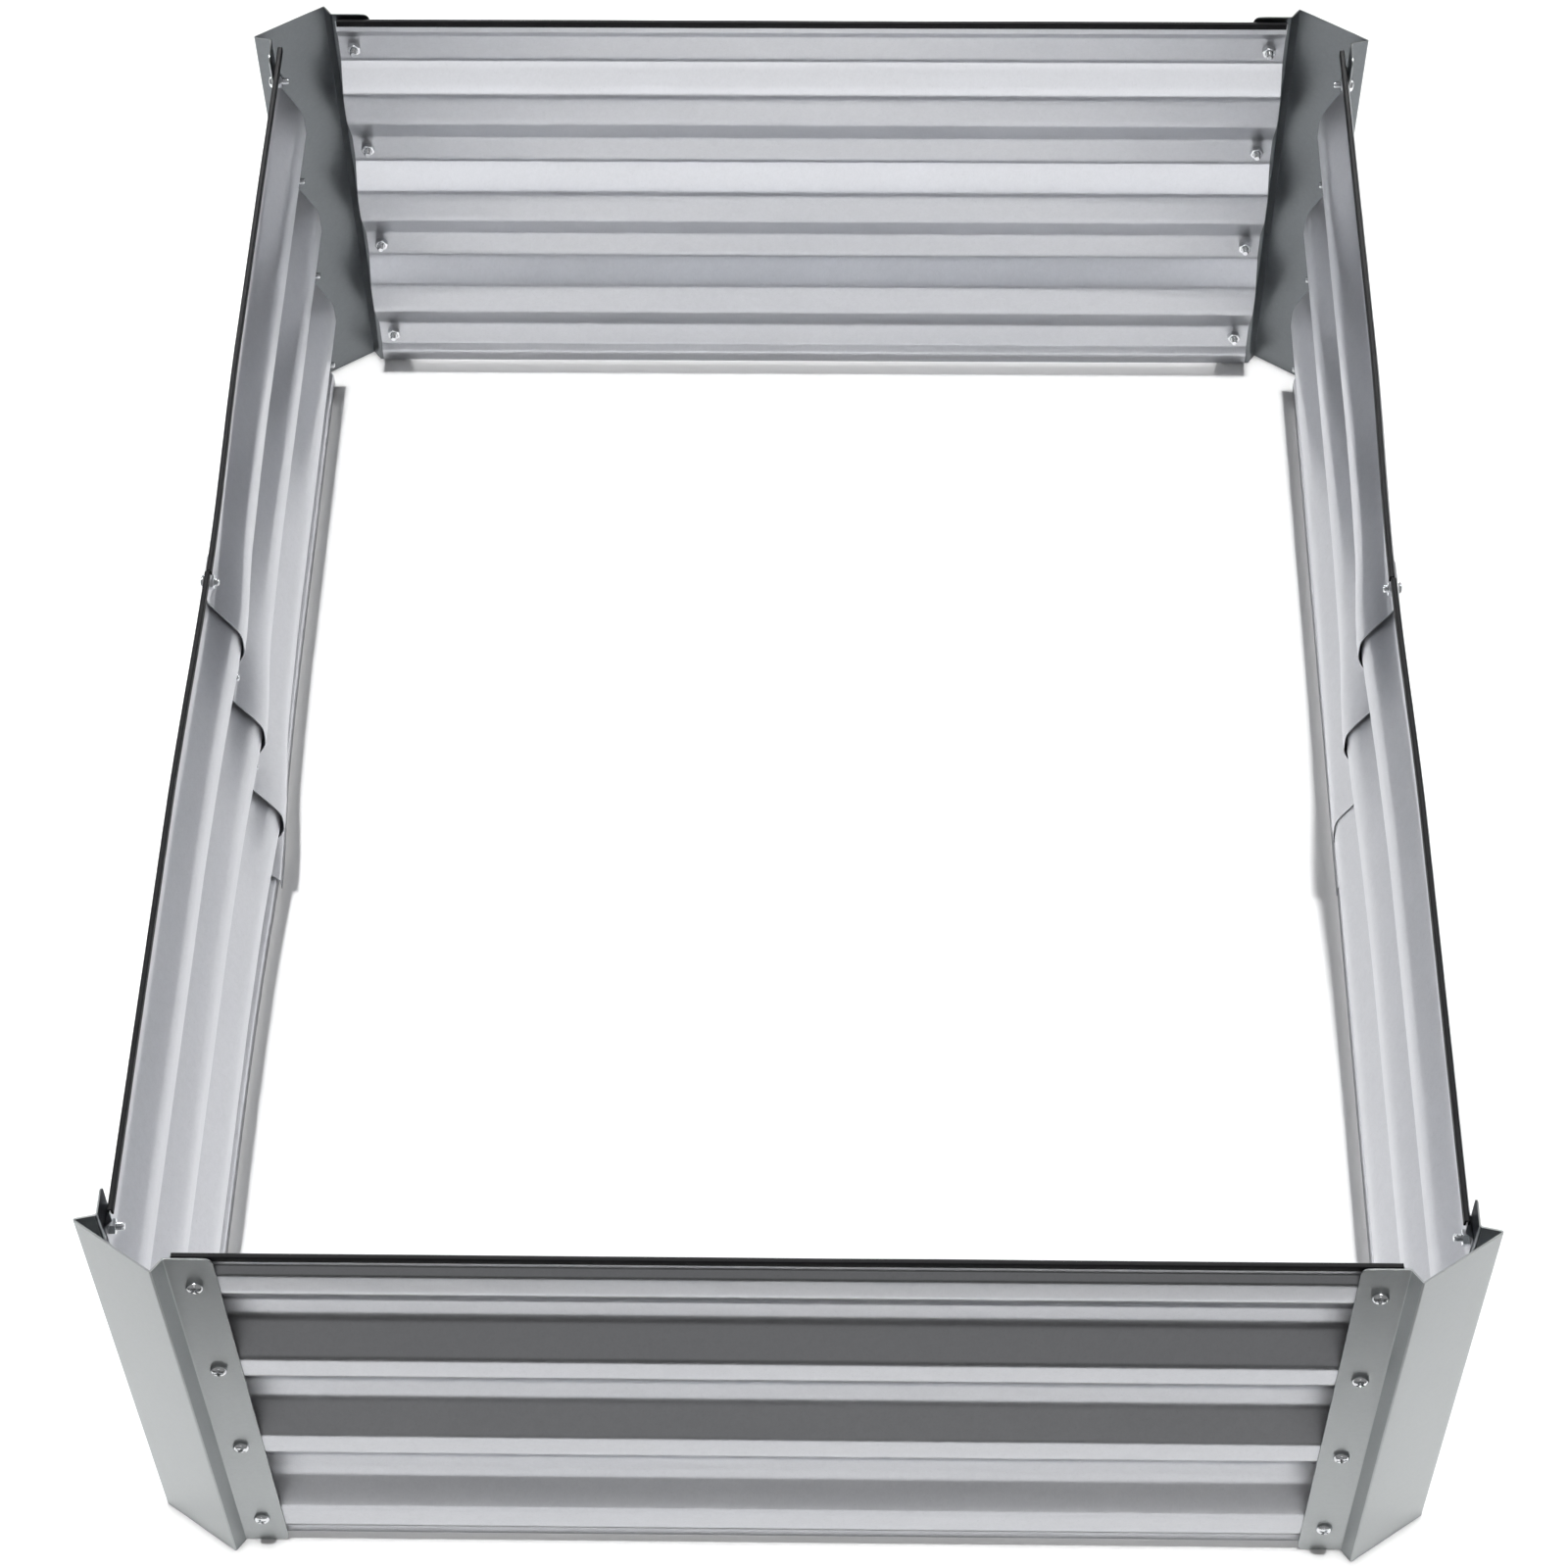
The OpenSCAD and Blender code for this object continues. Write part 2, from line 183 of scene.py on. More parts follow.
def sheet_mesh(us, vs, surface, thick, holes=(), hole_r=3.3):
    """Closed sheet over the grid us x vs. surface(u, v) gives a point and the direction of its thickness,
    both in metres. Around each hole (u, v) a 4 x 4 block of cells becomes a ring."""
    bm = bmesh.new()
    nu, nv = len(us), len(vs)
    skip_cells, skip_verts, blocks = set(), set(), []
    for hu, hv in holes:
        i0 = min(range(nu), key=lambda i: abs(us[i] - hu)) - 2
        j0 = min(range(nv), key=lambda j: abs(vs[j] - hv)) - 2
        blocks.append((hu, hv, i0, j0))
        for i in range(4):
            for j in range(4):
                skip_cells.add((i0 + i, j0 + j))
        for i in range(1, 4):
            for j in range(1, 4):
                skip_verts.add((i0 + i, j0 + j))
    layers = []
    for side in (0, 1):
        grid = {}
        for i, u in enumerate(us):
            for j, v in enumerate(vs):
                if (i, j) in skip_verts:
                    continue
                p, n = surface(u, v)
                grid[i, j] = bm.verts.new(p + n * (thick * MM * side))
        rings = []
        for hu, hv, i0, j0 in blocks:
            ring = []
            for k in range(16):
                a = math.radians(-135 + 22.5 * k)
                # the surface is flat here, so a circle in (u, v) is one in space
                p, n = surface(hu + hole_r * math.cos(a), hv + hole_r * math.sin(a))
                ring.append(bm.verts.new(p + n * (thick * MM * side)))
            around = (
                [(i0 + k, j0) for k in range(4)]
                + [(i0 + 4, j0 + k) for k in range(4)]
                + [(i0 + 4 - k, j0 + 4) for k in range(4)]
                + [(i0, j0 + 4 - k) for k in range(4)]
            )
            for k in range(16):
                a, b = around[k], around[(k + 1) % 16]
                bm.faces.new((grid[a], grid[b], ring[(k + 1) % 16], ring[k]))
            rings.append(ring)
        for i in range(nu - 1):
            for j in range(nv - 1):
                if (i, j) not in skip_cells:
                    bm.faces.new((grid[i, j], grid[i + 1, j], grid[i + 1, j + 1], grid[i, j + 1]))
        layers.append((grid, rings))
    (g0, r0), (g1, r1) = layers
    border = (
        [(i, 0) for i in range(nu)]
        + [(nu - 1, j) for j in range(1, nv)]
        + [(i, nv - 1) for i in range(nu - 2, -1, -1)]
        + [(0, j) for j in range(nv - 2, 0, -1)]
    )
    for a, b in zip(border, border[1:] + border[:1]):
        bm.faces.new((g0[a], g0[b], g1[b], g1[a]))
    for a, b in zip(r0, r1):
        for k in range(16):
            m = (k + 1) % 16
            bm.faces.new((a[k], a[m], b[m], b[k]))
    return bm


def spaced(a, b, step, marks):
    """Values from a to b no more than step apart, with those of marks among them."""
    fixed = sorted({a, b, *(m for m in marks if a < m < b)})
    out = [fixed[0]]
    for x, y in zip(fixed, fixed[1:]):
        n = max(1, math.ceil((y - x) / step - 1e-9))
        out += [x + (y - x) * k / n for k in range(1, n + 1)]
    return out


# ---------------------------------------------------------------- materials


class Nodes:
    """Short calls for building a material's node tree."""

    def __init__(self, name):
        self.mat = bpy.data.materials.new(name)
        self.mat.use_nodes = True
        self.tree = self.mat.node_tree
        self.bsdf = self.tree.nodes["Principled BSDF"]
        self.coord = self.tree.nodes.new("ShaderNodeTexCoord").outputs["Object"]

    def node(self, kind, **values):
        n = self.tree.nodes.new(kind)
        for key, value in values.items():
            if hasattr(n, key):
                setattr(n, key, value)
        return n

    def link(self, a, b):
        self.tree.links.new(a, b)

    def mapped(self, scale, source=None):
        m = self.node("ShaderNodeMapping")
        m.inputs["Scale"].default_value = scale
        self.link(source or self.coord, m.inputs["Vector"])
        return m.outputs["Vector"]

    def noise(self, scale, detail=4.0, rough=0.5, vector=None, distortion=0.0):
        n = self.node("ShaderNodeTexNoise")
        n.inputs["Scale"].default_value = scale
        n.inputs["Detail"].default_value = detail
        n.inputs["Roughness"].default_value = rough
        n.inputs["Distortion"].default_value = distortion
        self.link(vector or self.coord, n.inputs["Vector"])
        return n.outputs["Fac"]

    def cells(self, scale, vector=None, feature="F1", smoothness=None, randomness=1.0):
        n = self.node("ShaderNodeTexVoronoi", feature=feature)
        n.inputs["Scale"].default_value = scale
        n.inputs["Randomness"].default_value = randomness
        self.link(vector or self.coord, n.inputs["Vector"])
        return n

    def ramp(self, fac, stops, interpolation="LINEAR"):
        n = self.node("ShaderNodeValToRGB")
        n.color_ramp.interpolation = interpolation
        e = n.color_ramp.elements
        while len(e) < len(stops):
            e.new(0.5)
        for el, (pos, col) in zip(e, stops):
            el.position = pos
            el.color = (*col, 1.0) if len(col) == 3 else col
        self.link(fac, n.inputs["Fac"])
        return n.outputs["Color"]

    def span(self, value, lo, hi, a=0.0, b=1.0):
        n = self.node("ShaderNodeMapRange")
        for key, v in (("From Min", a), ("From Max", b), ("To Min", lo), ("To Max", hi)):
            n.inputs[key].default_value = v
        self.link(value, n.inputs["Value"])
        return n.outputs["Result"]

    def math(self, op, a, b):
        n = self.node("ShaderNodeMath", operation=op)
        for k, v in enumerate((a, b)):
            if isinstance(v, (int, float)):
                n.inputs[k].default_value = v
            else:
                self.link(v, n.inputs[k])
        return n.outputs[0]

    def mix(self, kind, fac, a, b):
        n = self.node("ShaderNodeMixRGB", blend_type=kind)
        for key, v in (("Fac", fac), ("Color1", a), ("Color2", b)):
            if isinstance(v, (int, float)):
                n.inputs[key].default_value = v
            elif isinstance(v, tuple):
                n.inputs[key].default_value = (*v, 1.0)
            else:
                self.link(v, n.inputs[key])
        return n.outputs["Color"]

    def bump(self, height, strength, distance, normal=None):
        n = self.node("ShaderNodeBump")
        n.inputs["Strength"].default_value = strength
        n.inputs["Distance"].default_value = distance
        self.link(height, n.inputs["Height"])
        if normal:
            self.link(normal, n.inputs["Normal"])
        return n.outputs["Normal"]


def galvanised(name, colour, deep, rough, spread, cell, fleck=0.5, clouds=0.5, brushed=0.0):
    """Bright hot-dip zinc: crystals of barely different tone and gloss, faint clouds and fine specks.
    brushed spreads its reflections more along the wall than up and down it."""
    m = Nodes(name)
    warp = m.noise(60.0, 3.0)
    vec = m.mix("LINEAR_LIGHT", 0.006, m.coord, warp)
    big, small = m.cells(cell, vec), m.cells(cell * 2.9, vec)
    tones = []
    for c in (big, small):
        t = m.node("ShaderNodeSeparateColor")
        m.link(c.outputs["Color"], t.inputs["Color"])
        tones.append(t.outputs[0])
    flake = m.math("ADD", m.math("MULTIPLY", tones[0], 0.5), m.math("MULTIPLY", tones[1], 0.5))
    cloud = m.noise(4.2, 5.0, 0.55)
    specks = m.noise(620.0, 2.0, 0.55)
    shade = m.ramp(flake, [(0.15, deep), (0.85, colour)])
    low = 1.0 - 0.08 * clouds
    clouded = m.mix("MULTIPLY", 1.0, shade, m.ramp(cloud, [(0.34, (low, low + 0.003, low + 0.008)), (0.66, (1, 1, 1))]))
    dot = m.ramp(specks, [(0.60, (1, 1, 1)), (0.74, (1 - 0.14 * fleck,) * 3)])
    m.link(m.mix("MULTIPLY", 1.0, clouded, dot), m.bsdf.inputs["Base Color"])
    m.bsdf.inputs["Metallic"].default_value = 1.0
    r = m.math("ADD", m.span(flake, rough - spread, rough + spread), m.span(cloud, -0.02, 0.02))
    m.link(m.math("ADD", r, m.span(specks, -0.02, 0.02)), m.bsdf.inputs["Roughness"])
    if brushed:
        m.bsdf.inputs["Anisotropic"].default_value = brushed
        along = m.node("ShaderNodeVectorMath", operation="CROSS_PRODUCT")
        m.link(m.node("ShaderNodeNewGeometry").outputs["Normal"], along.inputs[0])
        along.inputs[1].default_value = (0, 0, 1)
        m.link(along.outputs["Vector"], m.bsdf.inputs["Tangent"])
    grain = m.noise(380.0, 3.0, 0.55)
    n1 = m.bump(flake, 0.03, 0.0003)
    m.link(m.bump(grain, 0.035, 0.0002, n1), m.bsdf.inputs["Normal"])
    return m.mat


def bright_zinc(name):
    """Zinc plate on a bolt or nut: bright, with a slight blue cast and dull patches from handling."""
    m = Nodes(name)
    patch = m.noise(260.0, 4.0, 0.55)
    m.link(m.ramp(patch, [(0.3, (0.66, 0.68, 0.70)), (0.7, (0.86, 0.87, 0.88))]), m.bsdf.inputs["Base Color"])
    m.bsdf.inputs["Metallic"].default_value = 1.0
    m.link(m.span(patch, 0.22, 0.12, 0.3, 0.7), m.bsdf.inputs["Roughness"])
    m.link(m.bump(m.noise(1500.0, 3.0), 0.06, 0.0002), m.bsdf.inputs["Normal"])
    return m.mat


def black_rubber(name):
    """Extruded rubber: black, matt, with faint drag lines and a dusty bloom."""
    m = Nodes(name)
    bloom = m.noise(38.0, 5.0, 0.6)
    m.link(m.ramp(bloom, [(0.3, (0.004, 0.004, 0.005)), (0.75, (0.010, 0.010, 0.011))]), m.bsdf.inputs["Base Color"])
    m.link(m.span(bloom, 0.5, 0.66, 0.3, 0.75), m.bsdf.inputs["Roughness"])
    m.bsdf.inputs["Specular IOR Level"].default_value = 0.16
    m.link(m.bump(m.noise(700.0, 4.0, 0.6), 0.25, 0.0002), m.bsdf.inputs["Normal"])
    return m.mat


ZINC_SHEET = galvanised("galvanised_sheet", (0.585, 0.592, 0.616), (0.557, 0.564, 0.588), 0.33, 0.015, 230.0, brushed=1.0)
ZINC_POST = galvanised("galvanised_post", (0.40, 0.417, 0.419), (0.382, 0.398, 0.4), 0.40, 0.015, 300.0, 0.3, 0.7)
# painted shade: a darker copy of the post's zinc for the narrow returns at its folds
SHADED_RETURN_ZINC = galvanised("galvanised_return_painted_shade", (0.25, 0.265, 0.268), (0.235, 0.25, 0.253), 0.40, 0.015, 300.0, 0.3, 0.7)
# painted shade: a darker copy of the post's zinc for its inner side, the reverse of the sheet
SHADED_REVERSE_ZINC = galvanised("galvanised_reverse_painted_shade", (0.185, 0.197, 0.205), (0.172, 0.184, 0.192), 0.36, 0.015, 300.0, 0.3, 0.9)
PLATED = bright_zinc("zinc_plate")
RUBBER = black_rubber("black_rubber")

# ---------------------------------------------------------------- corrugated panels


def wave_line(lip):
    line = [(lip, PANEL_TOP), (lip, ROWS[3] + FLAT_H / 2 + LIP_H), (0, ROWS[3] + FLAT_H / 2)]
    for k in (3, 2, 1):
        line += [
            (0, ROWS[k] - FLAT_H / 2),
            (WAVE_D, ROWS[k] - FLAT_H / 2 - WAVE_H),
            (WAVE_D, ROWS[k - 1] + FLAT_H / 2 + WAVE_H),
            (0, ROWS[k - 1] + FLAT_H / 2),
        ]
    low = ROWS[0] - FLAT_H / 2 - 1.5
    line += [(0, low), (lip, low - LIP_H), (lip, PANEL_LOW)]
    return line


WAVE_R = [0, 6, 9] + [R_OUT, R_IN, R_IN, R_OUT] * 3 + [7, 6, 0]


def wave_samples(lip):
    """The section's samples, with extra ones round each row of holes."""
    base = bent_line(wave_line(lip), WAVE_R, 7, 7.5)
    marks = [r + k for r in ROWS for k in (-6.0, -3.0, 0.0, 3.0, 6.0)]
    kept = [q for q in base if not (abs(q[0]) < 1e-6 and any(abs(q[1] - r) < 7.0 for r in ROWS))]
    kept += [(0.0, z, 1.0, 0.0) for z in marks]
    return sorted(kept, key=lambda q: -q[1])


def bulge(t):
    """How far the free end of a side panel stands off between two rows of bolts, 1 at most."""
    xs = [0.0, 0.045, 0.09, 0.13, 0.21, 0.30, 0.42, 0.54, 0.60, 0.66, 0.75, 0.90, 1.0]
    ys = [0.0, 0.16, 0.56, 0.74, 0.90, 1.02, 1.02, 0.98, 0.74, 0.48, 0.22, 0.04, 0.0]
    return float(np.interp(t, xs, ys))


def follow(t):
    """The same for the panel outside it, whose crests are drawn in but whose slopes are not."""
    return float(np.interp(t, [0.0, 0.14, 0.22, 0.31, 0.55, 0.62, 0.75, 0.9, 1.0], [0.0, 0.03, 0.30, 1.0, 1.0, 0.70, 0.20, 0.03, 0.0]))


# the free ends' flare, from the top downwards, and the inward bow of the whole wall at the lap
FLARE = {"left": (5.2, 6.8, 7.4, 4.5), "right": (5.6, 4.4, 1.2, 0.0)}
DRAWN = {"left": (3.5, 4.9, 5.4, 3.0), "right": (3.9, 2.8, 0.6, 0.0)}
BOW = {"left": ((0.0, 2.6), (401.0, 2.8)), "right": ((0.0, 0.0), (100.0, 1.4), (250.0, 2.8), (401.0, 3.4))}


def wall_bow(side, u, z):
    """The side walls lean in a little at their laps, where only four bolts stiffen them."""
    if side not in BOW:
        return 0.0
    zs, ds = zip(*BOW[side])
    return float(np.interp(z, zs, ds)) * (1.0 - smooth(20.0, 230.0, abs(u - LAP_BOLT)))


def lap_shift(side, rear, u, z):
    """Shift inwards of a side panel near its free end, in mm."""
    if side not in BOW:
        return 0.0
    if rear:
        reach = 1.0 - smooth(-LAP_FRONT, 105.0, u)
    else:
        reach = 1.0 - smooth(-30.0, 130.0, LAP_BACK - u)
    if reach <= 0:
        return 0.0
    amount, shape = (FLARE[side], bulge) if rear else (DRAWN[side], follow)
    if z > ROWS[3]:
        return (0.3 * smooth(6.0, 22.0, z - ROWS[3]) if rear else 0.0) * reach
    if z < ROWS[0]:
        return amount[3] * smooth(2.0, 16.0, ROWS[0] - z) * reach
    for k in (3, 2, 1):
        if z >= ROWS[k - 1]:
            t = (ROWS[k] - z) / (ROWS[k] - ROWS[k - 1])
            return amount[3 - k] * shape(t) * reach
    return 0.0


def panel(name, side, u0, u1, lip, holes, seed, node):
    place = wall("front" if side == "front" else "back" if side == "back" else side)
    section = wave_samples(lip)
    rear = node.endswith("rear_panel")
    samples = {}
    for q in section:
        samples[round(-q[1], 6)] = q
    heights = [-q[1] for q in section]  # v runs downwards, so it increases
    us = spaced(u0, u1, 13.0, [h + k for h in holes for k in (-6.0, -3.0, 0.0, 3.0, 6.0)])
    if side in BOW:
        free = [15, 25, 35, 45, 55, 65, 75, 85, 95] if rear else [-15, -25, -35, -45, -55, -65, -75, -85, -95]
        us = spaced(u0, u1, 13.0, [h + k for h in holes for k in (-6.0, -3.0, 0.0, 3.0, 6.0)] + free)

    def wobble(u, z, d):
        """Slight unevenness of thin rolled sheet, none where it is bolted."""
        hold = min([1.0] + [smooth(14.0, 60.0, math.hypot(u - h, (z - r) * 0.7)) for h in holes for r in ROWS])
        edge = smooth(0.0, 40.0, min(u - u0, u1 - u))
        n = noise.noise(Vector((u / 210.0, z / 110.0, seed * 7.3)))
        n += 0.3 * noise.noise(Vector((u / 80.0, z / 80.0, seed * 3.1 + 5)))
        return 0.08 * n * hold * edge

    cosr, sinr = math.cos(LAP_TURN), math.sin(LAP_TURN)

    def surface(u, v):
        q = samples.get(round(v, 6))
        if q is None:  # a point of a hole's ring, on the flat
            q = (0.0, -v, 1.0, 0.0)
        d, z, nx, nz = q
        w = wobble(u, z, d)
        dd, uu = d + nx * w, u
        zz = z + nz * w
        dd += lap_shift(side, rear, u, z) + wall_bow(side, u, z)
        if rear:
            # turned a very little about its rear end, as in the CAD
            x, y = uu - SIDE_END, dd
            uu, dd = SIDE_END + x * cosr + y * sinr, -x * sinr + y * cosr
        p = place(uu, dd, zz)
        n = place(uu, dd + nx, zz + nz) - p
        return p, n.normalized()

    bm = sheet_mesh(us, heights, surface, SHEET, [(h, -r) for h in holes for r in ROWS])
    return edge_break(build(name, bm, "corrugated_sheet", [node], ZINC_SHEET), 0.12)


panel("front_sheet", "front", -FRONT_END, FRONT_END, LIP_FRONT, [-FRONT_BOLT, FRONT_BOLT], 1, "front_panel")
panel("back_sheet", "back", -FRONT_END, FRONT_END, LIP_FRONT, [-FRONT_BOLT, FRONT_BOLT], 2, "back_panel")
panel("left_front_sheet", "left", -SIDE_END, LAP_BACK, LIP_SIDE, [-SIDE_BOLT, LAP_BOLT], 3, "left_front_panel")
panel("left_rear_sheet", "left", -LAP_FRONT, SIDE_END, LIP_SIDE, [LAP_BOLT, SIDE_BOLT], 4, "left_rear_panel")
panel("right_front_sheet", "right", -SIDE_END, LAP_BACK, LIP_SIDE, [-SIDE_BOLT, LAP_BOLT], 5, "right_front_panel")
panel("right_rear_sheet", "right", -LAP_FRONT, SIDE_END, LIP_SIDE, [LAP_BOLT, SIDE_BOLT], 6, "right_rear_panel")

# ---------------------------------------------------------------- corner posts


def let_out(a, b, c, r, axis):
    """The corner b moved outwards, so that its rounded fold reaches as far along an axis."""
    a, b, c = (np.array(q, float) for q in (a, b, c))
    u, v = (b - a) / np.linalg.norm(b - a), (c - b) / np.linalg.norm(c - b)
    n1, n2 = np.array((-u[1], u[0])), np.array((-v[1], v[0]))
    s, k = -n1 - n2, float(n1 @ n2)
    return b + s / s[axis] * r * (s[axis] / (1 + k) - 1)


FOLD_R = 1.4
INSET = 0.04
corners = [
    (BED_W / 2 - FOLD_Y[0], BED_L / 2 - FACE_Y - FOLD_Y[1] - FLANGE_Y),
    (BED_W / 2 - FOLD_Y[0], BED_L / 2 - FACE_Y - FOLD_Y[1]),
    (BED_W / 2, BED_L / 2 - FACE_Y),
    (BED_W / 2 - FACE_X, BED_L / 2),
    (BED_W / 2 - FACE_X - FOLD_X[0], BED_L / 2 - FOLD_X[1]),
    (BED_W / 2 - FACE_X - FOLD_X[0] - FLANGE_X, BED_L / 2 - FOLD_X[1]),
]
post_line = [
    corners[0],
    corners[1],
    let_out(corners[1], corners[2], corners[3], FOLD_R, 0) - np.array((INSET + 0.2, 0)),
    let_out(corners[2], corners[3], corners[4], FOLD_R, 1) - np.array((0, INSET)),
    corners[4],
    corners[5],
]


def between(a, b, gap):
    """True for a point on the straight part of the sheet's line between the corners a and b."""
    a, b = np.array(a, float), np.array(b, float)
    d = (b - a) / np.linalg.norm(b - a)
    far = np.linalg.norm(b - a)

    def test(x, y):
        q = np.array((x, y)) - a
        return gap < q @ d < far - gap and abs(q[0] * d[1] - q[1] * d[0]) < 1.5

    return test


RETURNS = (between(post_line[1], post_line[2], 1.0), between(post_line[3], post_line[4], 1.0))


def post(name, sx, sy, seed, node):
    line = bent_line(post_line, [0, FOLD_R, FOLD_R, FOLD_R, FOLD_R, 0], 4, 6.0)
    pts = []
    total = 0.0
    for k, q in enumerate(line):
        if k:
            total += math.hypot(q[0] - line[k - 1][0], q[1] - line[k - 1][1])
        pts.append((total, *q))
    length = total
    # samples close to the free ends, for their rounded corners, and round the two columns of holes
    first, last = FLANGE_Y / 2, length - FLANGE_X / 2
    marks = [c + k for c in (first, last) for k in (-6.0, -3.0, 0.0, 3.0, 6.0)]
    near = [0.0, 0.25, 0.8, 1.6, 2.6, 3.8]
    marks += near + [length - x for x in near]
    bends = [p[0] for p in pts if 21.5 < p[0] < length - 30.5]
    ss = sorted({round(s, 5) for s in marks + bends + [p[0] for p in pts if 18 < p[0] < length - 22]})
    ss = [s for k, s in enumerate(ss) if k == 0 or s - ss[k - 1] > 0.05]
    table = np.array(pts)

    def at(s):
        return [float(np.interp(s, table[:, 0], table[:, c])) for c in (1, 2, 3, 4)]

    rows = sorted({*(r + k for r in ROWS for k in (-6.0, -3.0, 0.0, 3.0, 6.0)), *(12.0 + 13.6 * k for k in range(29))})
    rows = [z for k, z in enumerate(rows) if k == 0 or z - rows[k - 1] > 1.5 or any(abs(z - r - j) < 1e-9 for r in ROWS for j in (-6, -3, 0, 3, 6))]
    clean = []
    for z in rows:
        if clean and z - clean[-1] < 1.5 and not any(abs(clean[-1] - r - j) < 1e-9 for r in ROWS for j in (-6, -3, 0, 3, 6)):
            clean[-1] = z
        else:
            clean.append(z)
    vs = [0.0, 6.5] + [z for z in clean if 8 < z < BED_H - 8] + [BED_H - 6.5, BED_H]

    def surface(s, v):
        x, y, nx, ny = at(s)
        k = math.hypot(nx, ny)
        nx, ny = nx / k, ny / k
        end = min(s, length - s)
        cut = 0.0 if end >= FLANGE_R else FLANGE_R - math.sqrt(max(0.0, FLANGE_R**2 - (FLANGE_R - end) ** 2))
        z = v
        if v == 0.0:
            z = cut
        elif v == BED_H:
            z = BED_H - cut
        broad = smooth(0, 14, min(s - 37.0, length - 43.5 - s))
        w = 0.12 * broad * noise.noise(Vector((s / 40.0, v / 130.0, seed * 5.7)))
        p = Vector((sx * (x - nx * w), sy * (y - ny * w), z)) * MM
        n = Vector((sx * nx, sy * ny, 0.0))
        return p, n

    bm = sheet_mesh(ss, vs, surface, POST, [(c, r) for c in (first, last) for r in ROWS])
    # the reverse of the sheet and its two narrow returns get darker copies of the post's zinc, as painted shade
    cx, cy = sx * (BED_W / 2 - 60) * MM, sy * (BED_L / 2 - 60) * MM
    bmesh.ops.recalc_face_normals(bm, faces=bm.faces)
    for f in bm.faces:
        c, n = f.calc_center_median(), f.normal
        if abs(n.z) > 0.3:
            continue
        if n.x * (c.x - cx) + n.y * (c.y - cy) < 0:
            # inner faces: painted shade
            f.material_index = 1
        elif RETURNS[0](sx * c.x / MM, sy * c.y / MM) or RETURNS[1](sx * c.x / MM, sy * c.y / MM):
            # narrow returns: painted shade
            f.material_index = 2
    return edge_break(build(name, bm, "corner_zinc", [node], ZINC_POST, SHADED_REVERSE_ZINC, SHADED_RETURN_ZINC), 0.18)


post("front_left_corner", -1, -1, 1, "front_left_post")
post("front_right_corner", 1, -1, 2, "front_right_post")
post("rear_left_corner", -1, 1, 3, "rear_left_post")
post("rear_right_corner", 1, 1, 4, "rear_right_post")

# ---------------------------------------------------------------- rubber edge strips


def strip(name, side, u0, u1, lip, seed, node, squeeze=None):
    """A U-shaped strip over a panel's top edge, its walls bulged a little where they grip the sheet."""
    place = wall(side)
    c, top, low = lip + SHEET / 2, PANEL_TOP + STRIP_WEB, PANEL_TOP + STRIP_WEB - STRIP_H
    h, r = STRIP_W / 2, 1.3
    outline = []
    for a in range(0, 91, 15):
        t = math.radians(a)
        outline.append((h - r + r * math.cos(t), top - r + r * math.sin(t)))
    for a in range(90, 181, 15):
        t = math.radians(a)
        outline.append((-h + r + r * math.cos(t), top - r + r * math.sin(t)))
    outline += [(-h - 0.06, top - 2.6), (-h - 0.1, top - 4.0), (-h, low + 0.5), (-h + 0.35, low), (-0.75, low), (-0.42, low + 0.5)]
    outline += [(-0.33, low + 1.2), (-0.33, PANEL_TOP + 0.03), (0.33, PANEL_TOP + 0.03), (0.33, low + 1.2)]
    outline += [(0.42, low + 0.5), (0.75, low), (h - 0.35, low), (h, low + 0.5), (h + 0.1, top - 4.0), (h + 0.06, top - 2.6)]
    us = spaced(u0, u1, 9.0, [])
    rear = node.endswith("rear_edge_strip")
    cosr, sinr = math.cos(LAP_TURN), math.sin(LAP_TURN)
    bm = bmesh.new()
    rings = []
    for u in us:
        free = smooth(0.0, 60.0, min(u - u0, u1 - u))
        sway = 0.22 * free * noise.noise(Vector((u / 120.0, seed * 3.7, 0.5)))
        lift = 0.16 * noise.noise(Vector((u / 90.0, seed * 9.1, 2.5)))
        lift = min(lift, 0.0) if free < 0.2 else lift * free
        ring = []
        for x, z in outline:
            grip = 1.0 if abs(x) < 0.6 else 0.0
            d = c + x + (0.0 if grip else sway * (1.0 if z > low + 1.5 else 0.6))
            zz = z + (lift if not grip and z > PANEL_TOP else 0.0)
            uu = u
            d += wall_bow(side, u, PANEL_TOP)
            if rear:
                d += 0.3 * (1.0 - smooth(-LAP_FRONT, 105.0, u))
                xx, yy = uu - SIDE_END, d
                uu, d = SIDE_END + xx * cosr + yy * sinr, -xx * sinr + yy * cosr
            ring.append(bm.verts.new(place(uu, d, zz)))
        rings.append(ring)
    n = len(outline)
    for a, b in zip(rings, rings[1:]):
        for k in range(n):
            bm.faces.new((a[k], a[(k + 1) % n], b[(k + 1) % n], b[k]))
    for ring in (rings[0], rings[-1]):
        # the cut end of a U: one face over its whole outline, legs and web
        bm.faces.new(ring)
    ob = build(name, bm, "edge_rubber", [node], RUBBER)
    return edge_break(ob, 0.15)


strip("front_rubber", "front", -FRONT_END + 1, FRONT_END - 1, LIP_FRONT, 1, "front_edge_strip")
strip("back_rubber", "back", -FRONT_END + 1, FRONT_END - 1, LIP_FRONT, 2, "back_edge_strip")
strip("left_front_rubber", "left", -SIDE_END + 2, -LAP_FRONT - 1, LIP_SIDE, 3, "left_front_edge_strip")
strip("left_rear_rubber", "left", -LAP_FRONT, SIDE_END - 2, LIP_SIDE, 4, "left_rear_edge_strip")
strip("right_front_rubber", "right", -SIDE_END + 2, -LAP_FRONT - 1, LIP_SIDE, 5, "right_front_edge_strip")
strip("right_rear_rubber", "right", -LAP_FRONT, SIDE_END - 2, LIP_SIDE, 6, "right_rear_edge_strip")

# ---------------------------------------------------------------- bolts and nuts
# A fastener's own axis is z: it runs inwards, and z = 0 is the face under the head.


